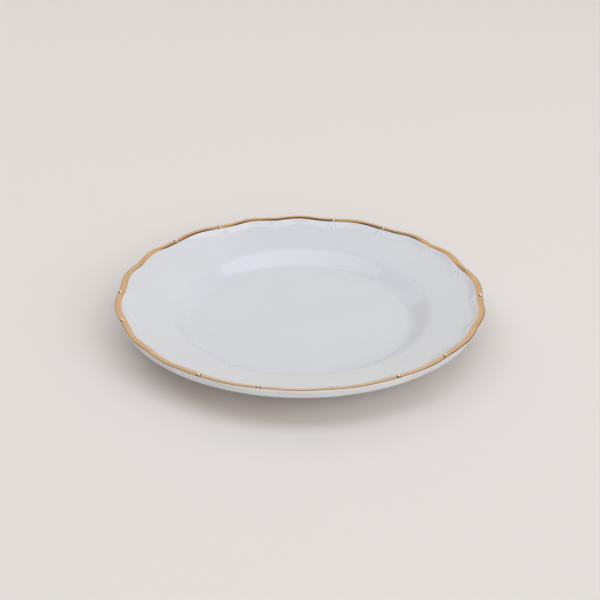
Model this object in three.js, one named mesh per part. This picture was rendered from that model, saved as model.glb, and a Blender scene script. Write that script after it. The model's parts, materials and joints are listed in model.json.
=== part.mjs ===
// A china dinner plate: one white porcelain body with a scalloped, beaded lip, and the band of
// gilding that wraps the lip. Millimetres, +Z up. The plate stands on its foot ring at z = 0,
// the Z axis is its middle, and a crest of the scalloped lip points along +X.
import * as THREE from 'three';

// Foot and well.
const RECESS_HEIGHT = 2.4; // underside of the floor, inside the foot ring
const FOOT_INNER_RADIUS = 71.2;
const FOOT_OUTER_RADIUS = 76.6;
const FOOT_EDGE = 0.9; // bevel on both edges of the bearing face
const FLOOR_HEIGHT = 6.0; // upper face of the well's floor
const WELL_RADIUS = 77.4; // where floor and wall would meet without their cove
const WELL_COVE = 3.6;

// Wall, shoulder and flange.
const SHOULDER_RADIUS = 89.6;
const SHOULDER_HEIGHT = 14.7;
const SHOULDER_ROUND = 2.8;
const CREASE_RADIUS = 117.6; // where the flange turns up into the border
const CREASE_HEIGHT = 21.7;
const CREASE_ROUND = 1.2;
const FLANGE_THICKNESS = 4.2; // measured upright
const WALL_FOOT = { radius: 80.6, height: 4.0 }; // where the wall's underside starts

// Border and lip, with the scallops left out.
const LIP_OUTER_RADIUS = 126.3;
const LIP_TOP_HEIGHT = 25.4;
const LIP_ROUND = 0.9; // radius of the lip's rounded edge
const CROWN_RADIUS = 14.0; // of the gilded crown that falls from the rounded edge to the border
const CROWN_OUTER_SLOPE = THREE.MathUtils.degToRad(4);
const CROWN_INNER_SLOPE = THREE.MathUtils.degToRad(19);
const BORDER_ROUND = 0.6; // where the crown turns down into the border
const OUTER_FACE_SLOPE = THREE.MathUtils.degToRad(64.5);
const OUTER_FACE_FOOT_RADIUS = 124.3; // where the steep outer face meets the curved underside
const OUTER_FACE_FOOT_HEIGHT = 19.5;

// Gilding.
const GILDING_THICKNESS = 0.3;
const GILDING_GAP = 0.1; // clearance between the gilding and its seat in the lip
const GILDING_OUTER_NORMAL = THREE.MathUtils.degToRad(22); // where it ends on the rounded edge

// Scallops: six sharp valleys, and between two valleys a crest, a bead, a crest, a bead, a crest.
const LOBE = 60; // degrees from one valley to the next
const BEAD_ANGLE = 20.7; // degrees from a valley to the bead on either side of it
const FIRST_CREST_END = 17; // degrees from a valley to where the crest beside it ends
const MIDDLE_CREST_START = 18; // degrees from a valley to where the middle crest starts
const LIP_SWING = { radius: 1.35, height: 0.7 }; // from valley to crest, at the lip
const LIP_LOW = { radius: -0.7, height: -0.25 }; // place of a valley, against the plain lip
const CREASE_SWING = 3.3; // from valley to crest, where the border begins
const CREASE_LOW = -1.8;
const CREASE_REACH = 6.0; // how far either side of the crease its swing dies out
const BEAD_HEIGHT = 1.3;
const BEAD_WIDTH = 0.8; // degrees from the bead's middle to where it has dropped to a third

// Angles, from a valley to the middle of the lobe, at which the turned shapes have their
// columns of points: closest together at the valley and across the bead.
const STATIONS = [0, 2, 5, 8.5, 12.5, 16.5, 19.3, BEAD_ANGLE, 22.1, 25.5, 30];
const STEPS = STATIONS.length - 1;
const COLUMNS = (2 * STEPS * 360) / LOBE;

const CURVE_STEPS = 3;
const LIP_STEPS = 2;

const lipCentre = new THREE.Vector2(LIP_OUTER_RADIUS - LIP_ROUND, LIP_TOP_HEIGHT - LIP_ROUND);
const crease = new THREE.Vector2(CREASE_RADIUS, CREASE_HEIGHT);
const shoulder = new THREE.Vector2(SHOULDER_RADIUS, SHOULDER_HEIGHT);
const corner = new THREE.Vector2(WELL_RADIUS, FLOOR_HEIGHT);
const flangeSlope = crease.clone().sub(shoulder).angle();
const wallSlope = shoulder.clone().sub(corner).angle();

function polar(origin, distance, angle) {
  return new THREE.Vector2(
    origin.x + distance * Math.cos(angle),
    origin.y + distance * Math.sin(angle),
  );
}

// A stretch of the lip in section, between two directions of its outward normal.
function lipArc(centre, radius, firstNormal, lastNormal) {
  const path = new THREE.Path();
  path.absarc(centre.x, centre.y, radius, firstNormal, lastNormal, false);
  return path.getPoints(LIP_STEPS);
}

// The gilded stretch of the lip in section, from the rounded edge over the crown to the border.
// It lies depth below the glazed surface, and runs on by extra past both edges of the gilding.
function gildedFace(depth, extra) {
  const edgeEnd = CROWN_OUTER_SLOPE + Math.PI / 2;
  const crownEnd = CROWN_INNER_SLOPE + Math.PI / 2;
  const crownCentre = polar(lipCentre, LIP_ROUND - CROWN_RADIUS, edgeEnd);
  const edge = lipArc(lipCentre, LIP_ROUND - depth, GILDING_OUTER_NORMAL, edgeEnd);
  const crown = lipArc(crownCentre, CROWN_RADIUS - depth, edgeEnd, crownEnd);
  const outerEnd = polar(edge[0], extra, GILDING_OUTER_NORMAL - Math.PI / 2);
  const innerEnd = polar(crown[crown.length - 1], extra, CROWN_INNER_SLOPE + Math.PI);
  return [outerEnd, ...edge.slice(1), ...crown.slice(1, -1), innerEnd];
}

function flangeHeight(radius) {
  return SHOULDER_HEIGHT + (radius - SHOULDER_RADIUS) * Math.tan(flangeSlope);
}

// Underside in section: recess, foot ring, wall and flange, out to the steep outer face.
function underside() {
  const wallRise = Math.tan(wallSlope);
  const flangeRise = Math.tan(flangeSlope);
  const flangeBase = flangeHeight(0) - FLANGE_THICKNESS;
  const wallBase = WALL_FOOT.height - WALL_FOOT.radius * wallRise;
  const bendRadius = (flangeBase - wallBase) / (wallRise - flangeRise);
  const bend = new THREE.Vector2(bendRadius, flangeBase + bendRadius * flangeRise);
  const wallEnd = polar(bend, SHOULDER_ROUND, wallSlope + Math.PI);
  const flangeStart = polar(bend, SHOULDER_ROUND, flangeSlope);
  const flangeEnd = CREASE_RADIUS - 4;
  const path = new THREE.Path();
  path.moveTo(0, RECESS_HEIGHT);
  path.lineTo(FOOT_INNER_RADIUS - 2.2, RECESS_HEIGHT);
  path.quadraticCurveTo(FOOT_INNER_RADIUS, RECESS_HEIGHT, FOOT_INNER_RADIUS, FOOT_EDGE);
  path.lineTo(FOOT_INNER_RADIUS + FOOT_EDGE, 0);
  path.lineTo(FOOT_OUTER_RADIUS - FOOT_EDGE, 0);
  path.lineTo(FOOT_OUTER_RADIUS, FOOT_EDGE);
  path.quadraticCurveTo(FOOT_OUTER_RADIUS, RECESS_HEIGHT, WALL_FOOT.radius, WALL_FOOT.height);
  path.lineTo(wallEnd.x, wallEnd.y);
  path.quadraticCurveTo(bend.x, bend.y, flangeStart.x, flangeStart.y);
  path.lineTo(flangeEnd, flangeHeight(flangeEnd) - FLANGE_THICKNESS);
  path.quadraticCurveTo(
    OUTER_FACE_FOOT_RADIUS - 3.2,
    OUTER_FACE_FOOT_HEIGHT - 2.6,
    OUTER_FACE_FOOT_RADIUS,
    OUTER_FACE_FOOT_HEIGHT,
  );
  return path.getPoints(CURVE_STEPS);
}

// Upper face in section, from the inner end of the gilding's seat: border, crease, flange,
// shoulder, wall and floor, in to the middle.
function upperFace(start) {
  const borderBend = polar(start, BORDER_ROUND, CROWN_INNER_SLOPE + Math.PI);
  const borderSlope = borderBend.clone().sub(crease).angle();
  const borderTop = polar(borderBend, BORDER_ROUND, borderSlope + Math.PI);
  const borderFoot = polar(crease, CREASE_ROUND, borderSlope);
  const flangeOuter = polar(crease, CREASE_ROUND, flangeSlope + Math.PI);
  const flangeInner = polar(shoulder, SHOULDER_ROUND, flangeSlope);
  const wallTop = polar(shoulder, SHOULDER_ROUND, wallSlope + Math.PI);
  const wallFoot = polar(corner, WELL_COVE, wallSlope);
  const path = new THREE.Path();
  path.moveTo(start.x, start.y);
  path.quadraticCurveTo(borderBend.x, borderBend.y, borderTop.x, borderTop.y);
  path.lineTo(borderFoot.x, borderFoot.y);
  path.quadraticCurveTo(crease.x, crease.y, flangeOuter.x, flangeOuter.y);
  path.lineTo(flangeInner.x, flangeInner.y);
  path.quadraticCurveTo(shoulder.x, shoulder.y, wallTop.x, wallTop.y);
  path.lineTo(wallFoot.x, wallFoot.y);
  path.quadraticCurveTo(corner.x, corner.y, corner.x - WELL_COVE, corner.y);
  path.lineTo(0, FLOOR_HEIGHT);
  return path.getPoints(CURVE_STEPS);
}

// The body's section, with a shallow seat for the gilding cut into the lip.
function bodySection() {
  const surface = gildedFace(0, GILDING_GAP);
  const bareEdge = lipArc(
    lipCentre,
    LIP_ROUND,
    OUTER_FACE_SLOPE - Math.PI / 2,
    GILDING_OUTER_NORMAL,
  );
  return [
    ...underside(),
    ...bareEdge.slice(0, -1),
    surface[0],
    ...gildedFace(GILDING_THICKNESS + GILDING_GAP, GILDING_GAP),
    ...upperFace(surface[surface.length - 1]),
  ];
}

// The gilding's section: a thin strip bent over the lip, closed on itself.
function gildingSection() {
  const outside = gildedFace(0, 0);
  const inside = gildedFace(GILDING_THICKNESS, 0).reverse();
  return [...outside, ...inside, outside[0].clone()];
}

// Height of the scallop at an angle from the nearest valley: 0 in the dips, 1 on the crests.
function scallop(away) {
  if (away < FIRST_CREST_END) {
    const share = away / FIRST_CREST_END;
    return Math.sin(Math.PI * share) ** (1 + share);
  }
  if (away > MIDDLE_CREST_START) {
    const share = (away - LOBE / 2) / (LOBE / 2 - MIDDLE_CREST_START);
    return (1 + Math.cos(Math.PI * share)) / 2;
  }
  return 0;
}

function bead(away) {
  return Math.exp(-(((away - BEAD_ANGLE) / BEAD_WIDTH) ** 2));
}

// How far a point of the section follows the lip's scallops: not at all at the crease or at the
// foot of the outer face, and fully along the rounded edge.
function lipShare(point) {
  const out = (point.x - CREASE_RADIUS) / (lipCentre.x - CREASE_RADIUS);
  const up = (point.y - OUTER_FACE_FOOT_HEIGHT) / (lipCentre.y - OUTER_FACE_FOOT_HEIGHT);
  return THREE.MathUtils.clamp(out, 0, 1) * THREE.MathUtils.clamp(up, 0, 1);
}

// How far it follows the crease's own scallops. Near the crease the whole upper face lies above
// the foot of the outer face, and the whole underside below it.
function creaseShare(point) {
  if (point.y <= OUTER_FACE_FOOT_HEIGHT) {
    return 0;
  }
  return Math.max(0, 1 - Math.abs(point.x - CREASE_RADIUS) / CREASE_REACH);
}

function shapedPoint(point, away) {
  const wave = scallop(away);
  const lip = lipShare(point);
  const creaseShift = creaseShare(point) * (CREASE_LOW + CREASE_SWING * wave);
  const lipRadius = LIP_LOW.radius + LIP_SWING.radius * wave;
  const lipHeight = LIP_LOW.height + LIP_SWING.height * wave + BEAD_HEIGHT * bead(away);
  return new THREE.Vector2(
    point.x + lip * lipRadius + creaseShift,
    point.y + lip * lipHeight + creaseShift * Math.tan(flangeSlope),
  );
}

// Angle from the nearest valley, and azimuth in radians, of a column of points.
function columnAngles(column) {
  const place = column % (2 * STEPS);
  const pastValley = place - STEPS;
  const away = STATIONS[Math.abs(pastValley)];
  const lobeStart = LOBE * Math.floor((column % COLUMNS) / (2 * STEPS));
  const azimuth = lobeStart + LOBE / 2 + Math.sign(pastValley) * away;
  return { away, azimuth: THREE.MathUtils.degToRad(azimuth) };
}

// Splits each four-sided face along its shorter diagonal, so that parallel faces split alike.
function splitShort(geometry) {
  const { position } = geometry.attributes;
  const index = geometry.index.array;
  const corner = (number) => new THREE.Vector3().fromBufferAttribute(position, number);
  for (let start = 0; start < index.length; start += 6) {
    const [a, b, d, c] = index.slice(start, start + 4);
    if (corner(a).distanceTo(corner(c)) < corner(b).distanceTo(corner(d))) {
      index.set([a, b, c, a, c, d], start);
    }
  }
}

// Turns a section about the Z axis and gives its edge the scallops and beads.
function turned(section) {
  const geometry = new THREE.LatheGeometry(section, COLUMNS);
  const position = geometry.attributes.position;
  for (let column = 0; column <= COLUMNS; column += 1) {
    const { away, azimuth } = columnAngles(column);
    section.forEach((point, row) => {
      const shaped = shapedPoint(point, away);
      const x = shaped.x * Math.cos(azimuth);
      const y = shaped.x * Math.sin(azimuth);
      position.setXYZ(column * section.length + row, x, y, shaped.y);
    });
  }
  splitShort(geometry);
  geometry.computeVertexNormals();
  return geometry;
}

function porcelainBody() {
  const material = new THREE.MeshStandardMaterial({
    color: 0xe9ebec,
    roughness: 0.12,
    metalness: 0,
  });
  const mesh = new THREE.Mesh(turned(bodySection()), material);
  mesh.name = 'porcelain_body';
  return mesh;
}

function gildedRimBand() {
  const material = new THREE.MeshStandardMaterial({
    color: 0xd8a062,
    roughness: 0.25,
    metalness: 1,
  });
  const mesh = new THREE.Mesh(turned(gildingSection()), material);
  mesh.name = 'gilded_rim_band';
  return mesh;
}

const plate = new THREE.Group();
plate.add(porcelainBody());
plate.add(gildedRimBand());

export default plate;
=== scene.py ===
"""A china dinner plate: glazed white porcelain, a scalloped and beaded lip, a band of fired gold.

Both shapes follow one section, in millimetres, turned about the Z axis. A place on it is its run:
the distance along the section from the top of the lip, more than 0 towards the well and less than 0
down the outside. The edge then gets its scallops, beads and low relief.
"""

import json
import math

import bpy
import numpy as np
from mathutils import Matrix, Vector


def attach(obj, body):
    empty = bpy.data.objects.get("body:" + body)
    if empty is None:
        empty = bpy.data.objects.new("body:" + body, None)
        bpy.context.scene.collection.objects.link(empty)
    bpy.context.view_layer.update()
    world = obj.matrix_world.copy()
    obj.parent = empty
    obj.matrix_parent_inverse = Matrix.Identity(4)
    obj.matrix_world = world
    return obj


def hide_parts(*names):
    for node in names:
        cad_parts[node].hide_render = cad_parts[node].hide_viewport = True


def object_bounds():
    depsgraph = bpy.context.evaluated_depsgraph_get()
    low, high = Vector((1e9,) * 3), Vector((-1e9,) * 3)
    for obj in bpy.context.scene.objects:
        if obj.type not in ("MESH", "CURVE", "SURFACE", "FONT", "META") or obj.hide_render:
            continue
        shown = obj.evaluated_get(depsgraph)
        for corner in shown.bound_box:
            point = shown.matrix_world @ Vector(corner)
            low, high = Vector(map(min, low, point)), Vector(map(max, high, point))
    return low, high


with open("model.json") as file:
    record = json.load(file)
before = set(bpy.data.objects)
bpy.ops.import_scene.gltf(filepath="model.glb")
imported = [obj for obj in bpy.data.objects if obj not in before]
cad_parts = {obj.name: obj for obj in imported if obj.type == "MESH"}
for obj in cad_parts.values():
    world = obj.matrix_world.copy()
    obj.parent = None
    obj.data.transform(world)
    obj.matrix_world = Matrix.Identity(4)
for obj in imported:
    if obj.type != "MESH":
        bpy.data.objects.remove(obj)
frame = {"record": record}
cad_low, cad_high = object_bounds()

MM = 0.001
MOUNTS = {m["name"]: np.array(m["pos_m"]) / MM for m in frame["record"]["mounts"]}

# Foot and well.
RECESS_HEIGHT = 2.4
FOOT_MIDDLE = MOUNTS["foot_face"][0]
FOOT_INNER = FOOT_MIDDLE - 2.7
FOOT_OUTER = FOOT_MIDDLE + 2.7
FOOT_EDGE = 0.9
WELL_HEIGHT = MOUNTS["well_floor"][2]
WELL_RADIUS = 77.4
WELL_COVE = 3.6

# Wall, shoulder and flange.
WELL_CORNER = np.array([WELL_RADIUS, WELL_HEIGHT])
SHOULDER = np.array([89.6, 14.7])
SHOULDER_ROUND = 2.8
CREASE_RADIUS = 117.6
CREASE_HEIGHT = 21.7
CREASE_ROUND = 1.2
FLANGE_SLOPE = math.atan2(CREASE_HEIGHT - SHOULDER[1], CREASE_RADIUS - SHOULDER[0])
WALL_SLOPE = math.atan2(*(SHOULDER - WELL_CORNER)[::-1])
FLANGE_THICKNESS = 4.2
WALL_FOOT = [80.6, 4.0]
RECESS_COVE = 2.2
UNDER_FLANGE_END = 4.0
UNDER_LIP_BEND = np.array([3.2, 2.6])

# Border and lip, with the scallops left out.
LIP_ROUND = 0.8
LIP_CENTRE = np.array([125.4, 24.5])
CROWN_RADIUS = 14.0
CROWN_OUTER_SLOPE = math.radians(4)
CROWN_INNER_SLOPE = math.radians(19)
BORDER_ROUND = 0.6
OUTER_FACE_SLOPE = math.radians(64.5)
OUTER_FACE_FOOT = np.array([124.3, 19.5])

# Scallops: between two valleys come a crest, a bead, a crest, a bead and a crest.
LOBE = 60.0
FIRST_VALLEY = 30.0
BEAD_ANGLE = 20.7
FIRST_CREST_END = 17.0
MIDDLE_CREST_START = 18.0
LIP_SWING = np.array([1.35, 0.7])
LIP_LOW = np.array([-0.7, -0.25])
CREASE_SWING = 3.3
CREASE_LOW = -1.8
CREASE_REACH = 6.0

# Pearls on the lip.
PEARL_RADIUS = 1.6
PEARL_HEIGHT = 1.2
PEARL_RUN = 0.8
PEARL_FULLNESS = 0.6
GROOVE_DEPTH = 0.5
GROOVE_WIDTH = 0.4

# Low relief inside the gilding: a pleat below each pearl, and petals, each with its angle in
# radians from the inward direction, its length and its height.
PLEAT_HEIGHT = 0.3
PLEAT_RUN = 3.5
PLEAT_WIDTH = 0.9
PLEAT_LENGTH = 1.5
PETAL_RUN = 2.9
PETAL_WIDTH = 0.75
PEARL_PETALS_START = 1.2
PEARL_PETALS = ((0.1, 8.5, 0.6), (-0.5, 6.5, 0.5), (0.62, 6.5, 0.5))
VALLEY_PETALS_START = 1.6
VALLEY_PETALS = ((0.35, 7.5, 0.55), (0.95, 6.0, 0.45))

# The edge outside FINE_RADIUS has a column of points at each fine azimuth, the rest at every
# third. Half a lobe has FINE_STEPS columns, and the knots say which column is how many degrees
# from the valley.
FINE_RADIUS = 110.0
FINE_STEPS = 84
COLUMN_KNOTS = [0, 8, 30, 66, 84]
COLUMN_ANGLES = [0, 3, 18.6, 22.8, 30]
BARE_HEIGHT = 0.15

# Gilding.
GILDING_INSIDE = 3.65
GILDING_OUTSIDE = -0.95
GILDING_THIN_PATCH = 0.55
THIN_PATCH_AZIMUTH = math.radians(262)
THIN_PATCH_POWER = 6
GILDING_DEPTH = 0.05
GILDING_STEPS = 30

# The brush's waver at the gilding's edges: height, waves round the plate and start.
WAVER = ((0.10, 7, 0.4), (0.07, 19, 2.1), (0.05, 43, 0.0))
OUTER_WAVER_SHARE = 0.8

# Streaks in the gold: scale round the plate, and their width across the band.
STREAKS_ROUND = 8.0
STREAK_WIDTH = 0.3

# Painted light on the gold: a painted highlight on each pearl's top, painted shade round each pearl
# and painted dark reflection along the inner edge on the far side.
# Radius of the painted highlight on each pearl's top.
PAINTED_HIGHLIGHT_RADIUS = 1.1
# Painted shade in a ring round each pearl, darker on its outer side.
RING_SHADE_WIDTH = 0.45
RING_SHADE_OUTER = 0.65
RING_SHADE_SWING = 0.35
# Painted dark reflection along the inner part of the band, in lengths, strongest on the side away
# from the viewer.
DARK_REFLECTION_AZIMUTH = math.radians(80)
DARK_REFLECTION_START = 0.5
DARK_REFLECTION_REACH = 0.3
DARK_REFLECTION_BASE = 0.62
DARK_REFLECTION_LENGTHS = ((0.45, 9, 0.9), (0.35, 23, 4.0))
DARK_REFLECTION_GAIN = 1.3

# Colours, as linear RGB.
GLAZE_TINTS = (0.64, 0.66, 0.70), (0.655, 0.675, 0.715)
BARE_TINTS = (0.66, 0.64, 0.60), (0.76, 0.75, 0.72)
GOLD_TINTS = (0.83, 0.60, 0.41), (0.68, 0.45, 0.24)
# Dark brown of the painted shade and painted dark reflection on the gold.
PAINTED_SHADE_GOLD = (0.20, 0.13, 0.08)
# Pale colour of the painted highlight on each pearl's top, where the gold is made non-metallic.
PAINTED_HIGHLIGHT_TOP = (0.86, 0.84, 0.80)
PAPER = (0.77, 0.73, 0.70, 1)
COOL_LIGHT = (0.79, 0.88, 1.06)
WARM_ROOM = (1.2, 1.08, 0.89, 1)

# Softboxes: place as the viewer sees it, size, and radiance.
SOFTBOXES = {
    "overhead_softbox": ((0.0, 0.1, 3.0), (6.2, 1.7), 1.54),
    "side_softbox": ((2.2, -1.75, 1.8), (2.0, 2.0), 1.83),
    "right_fill": ((2.6, 0.0, 1.7), (1.8, 1.8), 0.44),
    "front_fill": ((0.0, -2.6, 1.2), (2.0, 1.4), 0.65),
    "back_fill": ((-1.8, 1.6, 2.0), (1.8, 1.8), 0.82),
}
FLOOR_HALF = 6.0
FLOOR_DROP = 0.0002

# The room: an even glow, brighter low down behind the plate and in front of it.
ROOM_GLOW = 0.303
BACK_GLOW = 0.385
FRONT_GLOW = 0.784
FRONT_DIRECTION = (0.42, -0.91, 0)

# The viewer looks along the plate's +Y, turned by this much about Z.
VIEW_TURN = math.radians(-8.935)


# ---------------------------------------------------------------- section

def line(start, end, steps):
    share = np.linspace(0, 1, steps, endpoint=False)[:, None]
    return np.asarray(start) * (1 - share) + np.asarray(end) * share


def bend(start, corner, end, steps):
    """A curve from start to end that leaves and arrives along the lines through corner."""
    share = np.linspace(0, 1, steps, endpoint=False)[:, None]
    ends = np.asarray(start) * (1 - share) ** 2 + np.asarray(end) * share**2
    return ends + np.asarray(corner) * 2 * share * (1 - share)


def arc(centre, radius, first, last, steps):
    angle = np.linspace(first, last, steps, endpoint=False)
    return centre + radius * np.column_stack([np.cos(angle), np.sin(angle)])


def along(origin, distance, angle):
    return np.asarray(origin) + distance * np.array([math.cos(angle), math.sin(angle)])


def slope_between(start, end):
    return math.atan2(end[1] - start[1], end[0] - start[0])


def crossing(point, angle, other, other_angle):
    """Where the line through point at angle meets the line through other at other_angle."""
    direction = np.array([math.cos(angle), math.sin(angle)])
    across = np.array([-math.sin(other_angle), math.cos(other_angle)])
    reach = np.dot(np.asarray(other) - point, across) / np.dot(direction, across)
    return point + reach * direction


def underside():
    """From the middle of the recess out to the top of the steep outer face."""
    recess = [FOOT_INNER - RECESS_COVE, RECESS_HEIGHT]
    inner_edge = [FOOT_INNER, FOOT_EDGE]
    outer_edge = [FOOT_OUTER, FOOT_EDGE]
    face_start, face_end = [FOOT_INNER + FOOT_EDGE, 0.0], [FOOT_OUTER - FOOT_EDGE, 0.0]
    flange_base = [CREASE_RADIUS, CREASE_HEIGHT - FLANGE_THICKNESS]
    bend_corner = crossing(np.array(WALL_FOOT), WALL_SLOPE, flange_base, FLANGE_SLOPE)
    wall_end = along(bend_corner, SHOULDER_ROUND, WALL_SLOPE + math.pi)
    flange_start = along(bend_corner, SHOULDER_ROUND, FLANGE_SLOPE)
    flange_middle = along(flange_base, FINE_RADIUS - CREASE_RADIUS, FLANGE_SLOPE)
    flange_end = along(flange_base, -UNDER_FLANGE_END, FLANGE_SLOPE)
    under_lip = OUTER_FACE_FOOT - UNDER_LIP_BEND
    outer_top = along(LIP_CENTRE, LIP_ROUND, OUTER_FACE_SLOPE - math.pi / 2)
    return np.vstack([
        line([0.0, RECESS_HEIGHT], recess, 4),
        bend(recess, [FOOT_INNER, RECESS_HEIGHT], inner_edge, 8),
        bend(inner_edge, [FOOT_INNER, 0.0], face_start, 6),
        line(face_start, face_end, 2),
        bend(face_end, [FOOT_OUTER, 0.0], outer_edge, 6),
        bend(outer_edge, [FOOT_OUTER, RECESS_HEIGHT], WALL_FOOT, 8),
        line(WALL_FOOT, wall_end, 3),
        bend(wall_end, bend_corner, flange_start, 10),
        line(flange_start, flange_middle, 4),
        line(flange_middle, flange_end, 3),
        bend(flange_end, under_lip, OUTER_FACE_FOOT, 8),
        line(OUTER_FACE_FOOT, outer_top, 4),
    ])


def lip():
    """The tight rounded edge, from the outer face to the crown."""
    return arc(
        LIP_CENTRE, LIP_ROUND, OUTER_FACE_SLOPE - math.pi / 2, CROWN_OUTER_SLOPE + math.pi / 2, 12
    )


def upper_face():
    """From the crown of the lip over the border, flange and wall in to the middle of the well."""
    normal = CROWN_OUTER_SLOPE + math.pi / 2
    crown_end = CROWN_INNER_SLOPE + math.pi / 2
    crown_centre = along(LIP_CENTRE, LIP_ROUND - CROWN_RADIUS, normal)
    gilded_end = along(crown_centre, CROWN_RADIUS, crown_end)
    border_bend = along(gilded_end, BORDER_ROUND, CROWN_INNER_SLOPE + math.pi)
    crease = np.array([CREASE_RADIUS, CREASE_HEIGHT])
    border_slope = slope_between(crease, border_bend)
    border_top = along(border_bend, BORDER_ROUND, border_slope + math.pi)
    border_foot = along(crease, CREASE_ROUND, border_slope)
    flange_outer = along(crease, CREASE_ROUND, FLANGE_SLOPE + math.pi)
    flange_middle = along(crease, FINE_RADIUS - CREASE_RADIUS, FLANGE_SLOPE)
    flange_inner = along(SHOULDER, SHOULDER_ROUND, FLANGE_SLOPE)
    wall_top = along(SHOULDER, SHOULDER_ROUND, WALL_SLOPE + math.pi)
    wall_foot = along(WELL_CORNER, WELL_COVE, WALL_SLOPE)
    floor_edge = WELL_CORNER - [WELL_COVE, 0.0]
    return np.vstack([
        arc(crown_centre, CROWN_RADIUS, normal, crown_end, 12),
        bend(gilded_end, border_bend, border_top, 4),
        line(border_top, border_foot, 8),
        bend(border_foot, crease, flange_outer, 6),
        line(flange_outer, flange_middle, 10),
        line(flange_middle, flange_inner, 4),
        bend(flange_inner, SHOULDER, wall_top, 16),
        line(wall_top, wall_foot, 3),
        bend(wall_foot, WELL_CORNER, floor_edge, 14),
        line(floor_edge, [0.0, WELL_HEIGHT], 4),
        [[0.0, WELL_HEIGHT]],
    ])


SECTION = np.vstack([underside(), lip(), upper_face()])
STEP_LENGTHS = np.linalg.norm(np.diff(SECTION, axis=0), axis=1)
RUNS = np.concatenate([[0.0], np.cumsum(STEP_LENGTHS)])
RUNS -= RUNS[np.argmax(SECTION[:, 1])]
TANGENTS = np.gradient(SECTION, RUNS, axis=0)


def plain_point(run):
    return np.stack([np.interp(run, RUNS, SECTION[:, i]) for i in (0, 1)], axis=-1)


def plain_normal(run):
    """Outward, in section."""
    tangent = np.stack([np.interp(run, RUNS, TANGENTS[:, i]) for i in (0, 1)], axis=-1)
    normal = np.stack([tangent[..., 1], -tangent[..., 0]], axis=-1)
    return normal / np.linalg.norm(normal, axis=-1, keepdims=True)


# ---------------------------------------------------------------- scallops and relief

def from_valley(azimuth):
    """Signed angle from the nearest valley, in degrees."""
    return (azimuth - FIRST_VALLEY + LOBE / 2) % LOBE - LOBE / 2


def scallop(away):
    """0 in the dips, 1 on the crests."""
    first = np.clip(away / FIRST_CREST_END, 0, 1)
    middle = np.clip((away - LOBE / 2) / (LOBE / 2 - MIDDLE_CREST_START), -1, 0)
    return np.sin(np.pi * first) ** (1 + first) + (1 + np.cos(np.pi * middle)) / 2


def lip_share(point):
    """How far a point follows the lip's scallops."""
    out = (point[..., 0] - CREASE_RADIUS) / (LIP_CENTRE[0] - CREASE_RADIUS)
    up = (point[..., 1] - OUTER_FACE_FOOT[1]) / (LIP_CENTRE[1] - OUTER_FACE_FOOT[1])
    return np.clip(out, 0, 1) * np.clip(up, 0, 1)


def crease_share(point):
    """How far a point follows the scallops of the crease, on the upper face only."""
    reach = np.clip(1 - np.abs(point[..., 0] - CREASE_RADIUS) / CREASE_REACH, 0, 1)
    reach = reach * reach * (3 - 2 * reach)
    return np.where(point[..., 1] > OUTER_FACE_FOOT[1], reach, 0)


def petal(x, y, angle, start, length, width, height):
    """A low ridge that tapers at both ends, over x along the rim and y, the run."""
    forward = x * math.sin(angle) + y * math.cos(angle)
    sideways = x * math.cos(angle) - y * math.sin(angle)
    share = np.clip((forward - start) / length, 0, 1)
    half = width * np.sqrt(np.sin(np.pi * share)) + 1e-6
    return height * np.sin(np.pi * share) * np.exp(-((sideways / half) ** 2))


def relief(run, azimuth, radius):
    """Height of the pearls and of the moulded petals inside the gilding, in millimetres."""
    away = np.abs(from_valley(azimuth))
    from_pearl = np.radians(away - BEAD_ANGLE) * radius
    from_notch = np.radians(away) * radius
    distance = np.hypot(from_pearl, run - PEARL_RUN)
    pearl = PEARL_HEIGHT * np.clip(1 - (distance / PEARL_RADIUS) ** 2, 0, 1) ** PEARL_FULLNESS
    groove = GROOVE_DEPTH * np.exp(-(((distance - PEARL_RADIUS) / GROOVE_WIDTH) ** 2))
    pleat = PLEAT_HEIGHT * np.exp(
        -((from_pearl / PLEAT_WIDTH) ** 2) - ((run - PLEAT_RUN) / PLEAT_LENGTH) ** 2
    )
    petals = np.zeros_like(from_pearl + run)
    for origin, start, leaves in (
        (from_pearl, PEARL_PETALS_START, PEARL_PETALS),
        (from_notch, VALLEY_PETALS_START, VALLEY_PETALS),
    ):
        for angle, length, height in leaves:
            leaf = petal(origin, run - PETAL_RUN, angle, start, length, PETAL_WIDTH, height)
            petals = np.maximum(petals, leaf)
    return np.maximum(pearl, pleat) + petals - groove


def surface(run, azimuth, lift=0.0):
    """Points in space for a grid of runs and azimuths in degrees, lift above the surface."""
    run, azimuth = np.broadcast_arrays(run, azimuth)
    base = plain_point(run)
    wave = scallop(np.abs(from_valley(azimuth)))[..., None]
    follow = lip_share(base)[..., None]
    crease_shift = crease_share(base) * (CREASE_LOW + CREASE_SWING * wave[..., 0])
    height = relief(run, azimuth, base[..., 0]) + lift
    point = base + follow * (LIP_LOW + LIP_SWING * wave) + height[..., None] * plain_normal(run)
    point = point + np.stack(
        [crease_shift, crease_shift * math.tan(FLANGE_SLOPE)], axis=-1
    )
    turn = np.radians(azimuth)
    return np.stack(
        [point[..., 0] * np.cos(turn), point[..., 0] * np.sin(turn), point[..., 1]], axis=-1
    )


# ---------------------------------------------------------------- meshes

def columns():
    """Azimuths all round the plate, closest together at the valleys and across the beads."""
    half = np.interp(np.arange(FINE_STEPS), COLUMN_KNOTS, COLUMN_ANGLES)
    other_half = LOBE - np.interp(np.arange(FINE_STEPS, 0, -1), COLUMN_KNOTS, COLUMN_ANGLES)
    lobes = np.arange(6)[:, None] * LOBE
    return (FIRST_VALLEY + lobes + np.concatenate([half, other_half])).ravel()


FINE = columns()
COARSE = FINE[::3]


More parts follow.
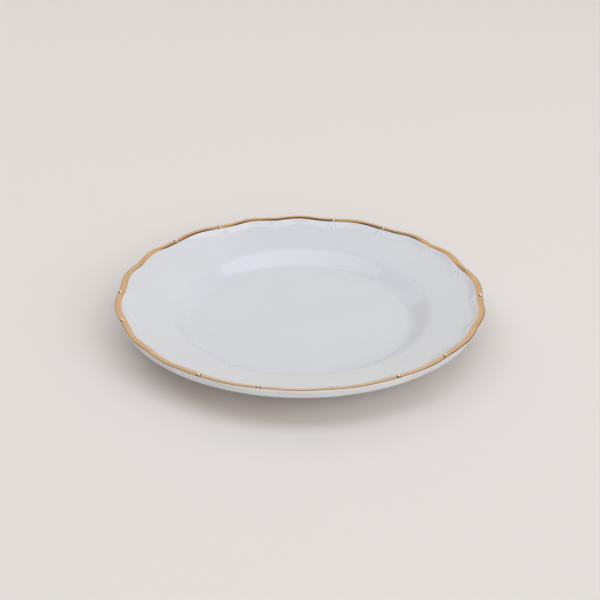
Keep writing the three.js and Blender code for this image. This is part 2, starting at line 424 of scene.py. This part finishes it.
def joined(low, high):
    """Faces between two rows of vertex numbers, low below high, one of which may hold fewer."""
    faces = []
    if len(low) == 1 or len(high) == 1:
        ring, tip = (high, low[0]) if len(low) == 1 else (low, high[0])
        for k in range(len(ring)):
            pair = [ring[k], ring[(k + 1) % len(ring)]]
            faces.append([tip, pair[1], pair[0]] if len(low) == 1 else [*pair, tip])
        return faces
    count = min(len(low), len(high))
    low_step, high_step = len(low) // count, len(high) // count
    for k in range(count):
        below = [low[(k * low_step + i) % len(low)] for i in range(low_step + 1)]
        above = [high[(k * high_step + i) % len(high)] for i in range(high_step + 1)]
        faces.append(below + above[::-1])
    return faces


def new_piece(name, points, faces, material, attributes=()):
    mesh = bpy.data.meshes.new(name)
    mesh.from_pydata((points * MM).tolist(), [], faces)
    for label, values in attributes:
        layer = mesh.attributes.new(label, "FLOAT_VECTOR", "POINT")
        layer.data.foreach_set("vector", np.asarray(values, dtype=np.float32).ravel())
    mesh.shade_smooth()
    mesh.materials.append(material)
    mesh.update()
    piece = bpy.data.objects.new(name, mesh)
    bpy.context.scene.collection.objects.link(piece)
    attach(piece, "root")
    return piece


def porcelain_body(material, bare):
    points, faces, rows = [], [], []
    start = 0
    for run, (radius, height) in zip(RUNS, SECTION):
        if radius < 1e-9:
            ring = np.array([[0.0, 0.0, height]])
        else:
            angles = FINE if radius > FINE_RADIUS - 0.5 else COARSE
            ring = surface(np.full(len(angles), run), angles)
        rows.append(np.arange(start, start + len(ring)))
        points.append(ring)
        start += len(ring)
    for low, high in zip(rows, rows[1:]):
        faces += joined(low, high)
    piece = new_piece("porcelain_plate", np.vstack(points), faces, material)
    piece.data.materials.append(bare)
    for face in piece.data.polygons:
        if face.center.z < BARE_HEIGHT * MM:
            face.material_index = 1
    return piece


def waves(turn, table):
    """A sum of sine waves round the plate."""
    return sum(height * np.sin(count * turn + start) for height, count, start in table)


def gilding_place_and_painted_light(runs, across, turn):
    """For each point of the skin: its place across the band, the strength of the painted highlight
    on a pearl's top, and of the painted shade and painted dark reflection.
    """
    place = across[:, None] * np.ones(len(turn))
    away = np.abs(from_valley(FINE)) - BEAD_ANGLE
    along_rim = np.radians(away) * LIP_CENTRE[0]
    from_pearl = np.hypot(along_rim, runs - PEARL_RUN)
    # A painted highlight: a pale spot on each pearl's top, fading out over its radius.
    painted_highlight = np.clip(1 - from_pearl / PAINTED_HIGHLIGHT_RADIUS, 0, 1)
    # Painted shade in the groove round each pearl, heavier on its outer side.
    ring_shade_side = RING_SHADE_OUTER - RING_SHADE_SWING * (runs - PEARL_RUN) / (from_pearl + 0.1)
    ring_shade = np.exp(-(((from_pearl - PEARL_RADIUS) / RING_SHADE_WIDTH) ** 2)) * ring_shade_side
    # Painted dark reflection in lengths of the inner part of the band, strongest on the side away
    # from the viewer.
    lengths = DARK_REFLECTION_BASE + waves(turn, DARK_REFLECTION_LENGTHS)
    lengths = np.clip(lengths * DARK_REFLECTION_GAIN * np.cos(turn - DARK_REFLECTION_AZIMUTH), 0, 1)
    inside = np.clip((place - DARK_REFLECTION_START) / DARK_REFLECTION_REACH, 0, 1)
    return np.stack([place, painted_highlight, np.maximum(ring_shade, inside * lengths)], axis=-1)


def gilding(material):
    """A thin closed skin over the lip, whose edges waver as a brushed band does."""
    turn = np.radians(FINE)
    waver = waves(turn, WAVER)
    across = np.linspace(0, 1, GILDING_STEPS + 1)
    inner_edge = GILDING_INSIDE + waver
    thin = np.clip(np.cos(turn - THIN_PATCH_AZIMUTH), 0, 1) ** THIN_PATCH_POWER
    outer_edge = GILDING_OUTSIDE + GILDING_THIN_PATCH * thin + OUTER_WAVER_SHARE * waver[::-1]
    runs = outer_edge[None, :] + (inner_edge - outer_edge)[None, :] * across[:, None]
    skins = [
        surface(runs, FINE[None, :], GILDING_DEPTH),
        surface(runs, FINE[None, :], -GILDING_DEPTH)[::-1],
    ]
    points = np.concatenate(skins).reshape(-1, 3)
    count = 2 * (GILDING_STEPS + 1)
    rows = np.arange(count * len(FINE)).reshape(count, len(FINE))
    faces = []
    for k in range(count):
        faces += joined(rows[k], rows[(k + 1) % count])
    spread = np.concatenate([runs, runs[::-1]])
    round_rim = np.broadcast_to(turn, spread.shape)
    strip = np.stack(
        [
            np.cos(round_rim) * STREAKS_ROUND,
            np.sin(round_rim) * STREAKS_ROUND,
            spread / STREAK_WIDTH,
        ],
        axis=-1,
    )
    place_and_painted_light = gilding_place_and_painted_light(spread, np.concatenate([across, across[::-1]]), turn)
    return new_piece(
        "gold_rim_band",
        points,
        faces,
        material,
        [
            ("strip", strip.reshape(-1, 3)),
            ("place_and_painted_light", place_and_painted_light.reshape(-1, 3)),
        ],
    )


# ---------------------------------------------------------------- materials

def new_material(name):
    material = bpy.data.materials.new(name)
    material.use_nodes = True
    nodes, links = material.node_tree.nodes, material.node_tree.links
    return material, nodes, links, nodes["Principled BSDF"]


def noise(nodes, links, vector, scale, detail=2.0, roughness=0.5):
    texture = nodes.new("ShaderNodeTexNoise")
    texture.inputs["Scale"].default_value = scale
    texture.inputs["Detail"].default_value = detail
    texture.inputs["Roughness"].default_value = roughness
    links.new(vector, texture.inputs["Vector"])
    return texture.outputs["Fac"]


def mapped(nodes, links, value, low, high, new_low, new_high):
    node = nodes.new("ShaderNodeMapRange")
    for socket, number in zip(
        ("From Min", "From Max", "To Min", "To Max"), (low, high, new_low, new_high)
    ):
        node.inputs[socket].default_value = number
    links.new(value, node.inputs["Value"])
    return node.outputs["Result"]


def mixed_colour(nodes, links, factor, first, second):
    node = nodes.new("ShaderNodeMix")
    node.data_type = "RGBA"
    node.inputs["A"].default_value = (*first, 1)
    node.inputs["B"].default_value = (*second, 1)
    links.new(factor, node.inputs["Factor"])
    return node.outputs["Result"]


def largest(nodes, links, first, second):
    node = nodes.new("ShaderNodeMath")
    node.operation = "MAXIMUM"
    links.new(first, node.inputs[0])
    links.new(second, node.inputs[1])
    return node.outputs[0]


def bumped(nodes, links, height, distance, strength=1.0, normal=None):
    node = nodes.new("ShaderNodeBump")
    node.inputs["Distance"].default_value = distance
    node.inputs["Strength"].default_value = strength
    links.new(height, node.inputs["Height"])
    if normal is not None:
        links.new(normal, node.inputs["Normal"])
    return node.outputs["Normal"]


def glazed_porcelain():
    material, nodes, links, shader = new_material("glazed_porcelain")
    place = nodes.new("ShaderNodeTexCoord").outputs["Object"]
    cloud = noise(nodes, links, place, 22, 3)
    tint = mapped(nodes, links, cloud, 0.35, 0.65, 0, 1)
    links.new(
        mixed_colour(nodes, links, tint, *GLAZE_TINTS),
        shader.inputs["Base Color"],
    )
    shader.inputs["IOR"].default_value = 1.5
    gloss = noise(nodes, links, place, 160, 2)
    links.new(mapped(nodes, links, gloss, 0.3, 0.7, 0.03, 0.06), shader.inputs["Roughness"])
    wave = bumped(nodes, links, noise(nodes, links, place, 55, 1), 0.00008)
    peel = bumped(nodes, links, noise(nodes, links, place, 420, 2), 0.000004, normal=wave)
    links.new(peel, shader.inputs["Normal"])
    return material


def bare_porcelain():
    material, nodes, links, shader = new_material("bare_porcelain")
    place = nodes.new("ShaderNodeTexCoord").outputs["Object"]
    grain = noise(nodes, links, place, 2600, 3, 0.7)
    links.new(
        mixed_colour(nodes, links, grain, *BARE_TINTS),
        shader.inputs["Base Color"],
    )
    links.new(mapped(nodes, links, grain, 0.2, 0.8, 0.75, 0.95), shader.inputs["Roughness"])
    links.new(bumped(nodes, links, grain, 0.00004), shader.inputs["Normal"])
    return material


def fired_gold():
    material, nodes, links, shader = new_material("fired_gold")
    strip = nodes.new("ShaderNodeAttribute")
    strip.attribute_name = "strip"
    place_and_painted_light = nodes.new("ShaderNodeAttribute")
    place_and_painted_light.attribute_name = "place_and_painted_light"
    parts = nodes.new("ShaderNodeSeparateXYZ")
    links.new(place_and_painted_light.outputs["Vector"], parts.inputs["Vector"])
    streaks = noise(nodes, links, strip.outputs["Vector"], 1.0, 2, 0.6)
    # Painted dark reflection: the band darkens towards brown along its outer and inner edges, and
    # takes the painted shade read from the skin.
    outer_edge = mapped(nodes, links, parts.outputs["X"], 0.05, 0.24, 0.9, 0)
    inner_edge = mapped(nodes, links, parts.outputs["X"], 0.93, 1.0, 0, 0.45)
    ring_and_far_shade = mapped(nodes, links, parts.outputs["Z"], 0.1, 0.7, 0, 0.95)
    painted_shade = largest(nodes, links, largest(nodes, links, outer_edge, inner_edge), ring_and_far_shade)
    blotch = mapped(nodes, links, streaks, 0.36, 0.64, 0, 1)
    gold = mixed_colour(nodes, links, blotch, *GOLD_TINTS)
    shaded = mixed_colour(nodes, links, painted_shade, (0, 0, 0), PAINTED_SHADE_GOLD)
    links.new(gold, shaded.node.inputs["A"])
    # A painted highlight: the pearls' tops turn pale and non-metallic.
    bare = mapped(nodes, links, parts.outputs["Y"], 0.1, 0.5, 0, 0.85)
    highlighted_gold = mixed_colour(nodes, links, bare, (0, 0, 0), PAINTED_HIGHLIGHT_TOP)
    links.new(shaded, highlighted_gold.node.inputs["A"])
    links.new(highlighted_gold, shader.inputs["Base Color"])
    links.new(mapped(nodes, links, bare, 0, 1, 1, 0), shader.inputs["Metallic"])
    links.new(mapped(nodes, links, streaks, 0.3, 0.7, 0.07, 0.14), shader.inputs["Roughness"])
    links.new(bumped(nodes, links, streaks, 0.00001), shader.inputs["Normal"])
    return material


def matt_paper():
    material, nodes, links, shader = new_material("studio_paper")
    shader.inputs["Base Color"].default_value = PAPER
    shader.inputs["Roughness"].default_value = 0.9
    shader.inputs["Specular IOR Level"].default_value = 0.1
    return material


# ---------------------------------------------------------------- studio

def seen(right, away, up):
    """A place given as the viewer sees it, turned into the plate's frame, in metres."""
    c, s = math.cos(VIEW_TURN), math.sin(VIEW_TURN)
    return Vector((right * c - away * s, right * s + away * c, up))


def studio_floor():
    mesh = bpy.data.meshes.new("studio_floor")
    half, level = FLOOR_HALF, cad_low.z - FLOOR_DROP
    corners = [(-half, -half), (half, -half), (half, half), (-half, half)]
    mesh.from_pydata([(x, y, level) for x, y in corners], [], [(0, 1, 2, 3)])
    mesh.materials.append(matt_paper())
    floor = bpy.data.objects.new("studio_floor", mesh)
    bpy.context.scene.collection.objects.link(floor)


def softbox(name, place, size, radiance):
    """A rectangular light at place, size wide and deep, that faces the plate."""
    ahead = (seen(0, 0, 0.02) - place).normalized()
    across = Vector(seen(1, 0, 0)) if ahead.z < -0.9 else ahead.cross(Vector((0, 0, 1)))
    across = (across - across.dot(ahead) * ahead).normalized()
    light = bpy.data.lights.new(name, "AREA")
    light.shape = "RECTANGLE"
    light.size, light.size_y = size
    light.energy = radiance * math.pi * size[0] * size[1]
    light.color = COOL_LIGHT
    lamp = bpy.data.objects.new(name, light)
    turn = Matrix((across, -ahead.cross(across), -ahead)).transposed().to_quaternion()
    lamp.matrix_world = Matrix.LocRotScale(place, turn, None)
    bpy.context.scene.collection.objects.link(lamp)


def studio_world():
    world = bpy.data.worlds.new("studio")
    world.use_nodes = True
    nodes, links = world.node_tree.nodes, world.node_tree.links
    place = nodes.new("ShaderNodeTexCoord").outputs["Generated"]
    turn = nodes.new("ShaderNodeVectorRotate")
    turn.rotation_type = "Z_AXIS"
    turn.inputs["Angle"].default_value = -VIEW_TURN
    links.new(place, turn.inputs["Vector"])
    parts = nodes.new("ShaderNodeSeparateXYZ")
    links.new(turn.outputs["Vector"], parts.inputs["Vector"])
    low = mapped(nodes, links, parts.outputs["Z"], 0.74, 0.80, 1, 0)
    back = mapped(nodes, links, parts.outputs["Y"], 0.35, 0.65, 0, BACK_GLOW)
    near_right = nodes.new("ShaderNodeVectorMath")
    near_right.operation = "DOT_PRODUCT"
    near_right.inputs[1].default_value = FRONT_DIRECTION
    links.new(turn.outputs["Vector"], near_right.inputs[0])
    front = mapped(nodes, links, near_right.outputs["Value"], 0.45, 0.75, 0, FRONT_GLOW)
    share = nodes.new("ShaderNodeMath")
    share.operation = "ADD"
    links.new(back, share.inputs[0])
    links.new(front, share.inputs[1])
    shown = nodes.new("ShaderNodeMath")
    shown.operation = "MULTIPLY"
    links.new(low, shown.inputs[0])
    links.new(share.outputs[0], shown.inputs[1])
    strength = mapped(nodes, links, shown.outputs[0], 0, 1, ROOM_GLOW, ROOM_GLOW + 1)
    links.new(strength, nodes["Background"].inputs["Strength"])
    nodes["Background"].inputs["Color"].default_value = WARM_ROOM
    bpy.context.scene.world = world


def studio_lights():
    for name, (place, size, radiance) in SOFTBOXES.items():
        softbox(name, seen(*place), size, radiance)


def camera():
    """The view: pinhole distance, height and tilt about the middle of the lip."""
    distance, tilt, roll = 0.9312, 0.4960, -0.0057
    offset_right, offset_up = 0.0017, 0.0344
    lens = 81.147
    radius = 0.1245
    right = Vector((1, 0, 0))
    up = Vector((0, math.sin(tilt), math.cos(tilt)))
    ahead = Vector((0, math.cos(tilt), -math.sin(tilt)))
    turned_right = math.cos(roll) * right - math.sin(roll) * up
    turned_up = math.sin(roll) * right + math.cos(roll) * up
    place = -offset_right * radius * turned_right - offset_up * radius * turned_up
    place = place - distance * ahead + Vector((0, 0, 25 * MM))
    axes = Matrix((turned_right, turned_up, -ahead)).transposed()
    turn = Matrix.Rotation(VIEW_TURN, 3, "Z")
    lens_data = bpy.data.cameras.new("camera")
    lens_data.lens = lens
    lens_data.sensor_width = 36
    eye = bpy.data.objects.new("camera", lens_data)
    eye.matrix_world = Matrix.LocRotScale(turn @ place, (turn @ axes).to_quaternion(), None)
    bpy.context.scene.collection.objects.link(eye)
    bpy.context.scene.camera = eye


camera()
studio_floor()
studio_world()
studio_lights()
bpy.context.scene.view_settings.view_transform = "Standard"

body = porcelain_body(glazed_porcelain(), bare_porcelain())
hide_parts("porcelain_body")
band = gilding(fired_gold())
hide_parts("gilded_rim_band")
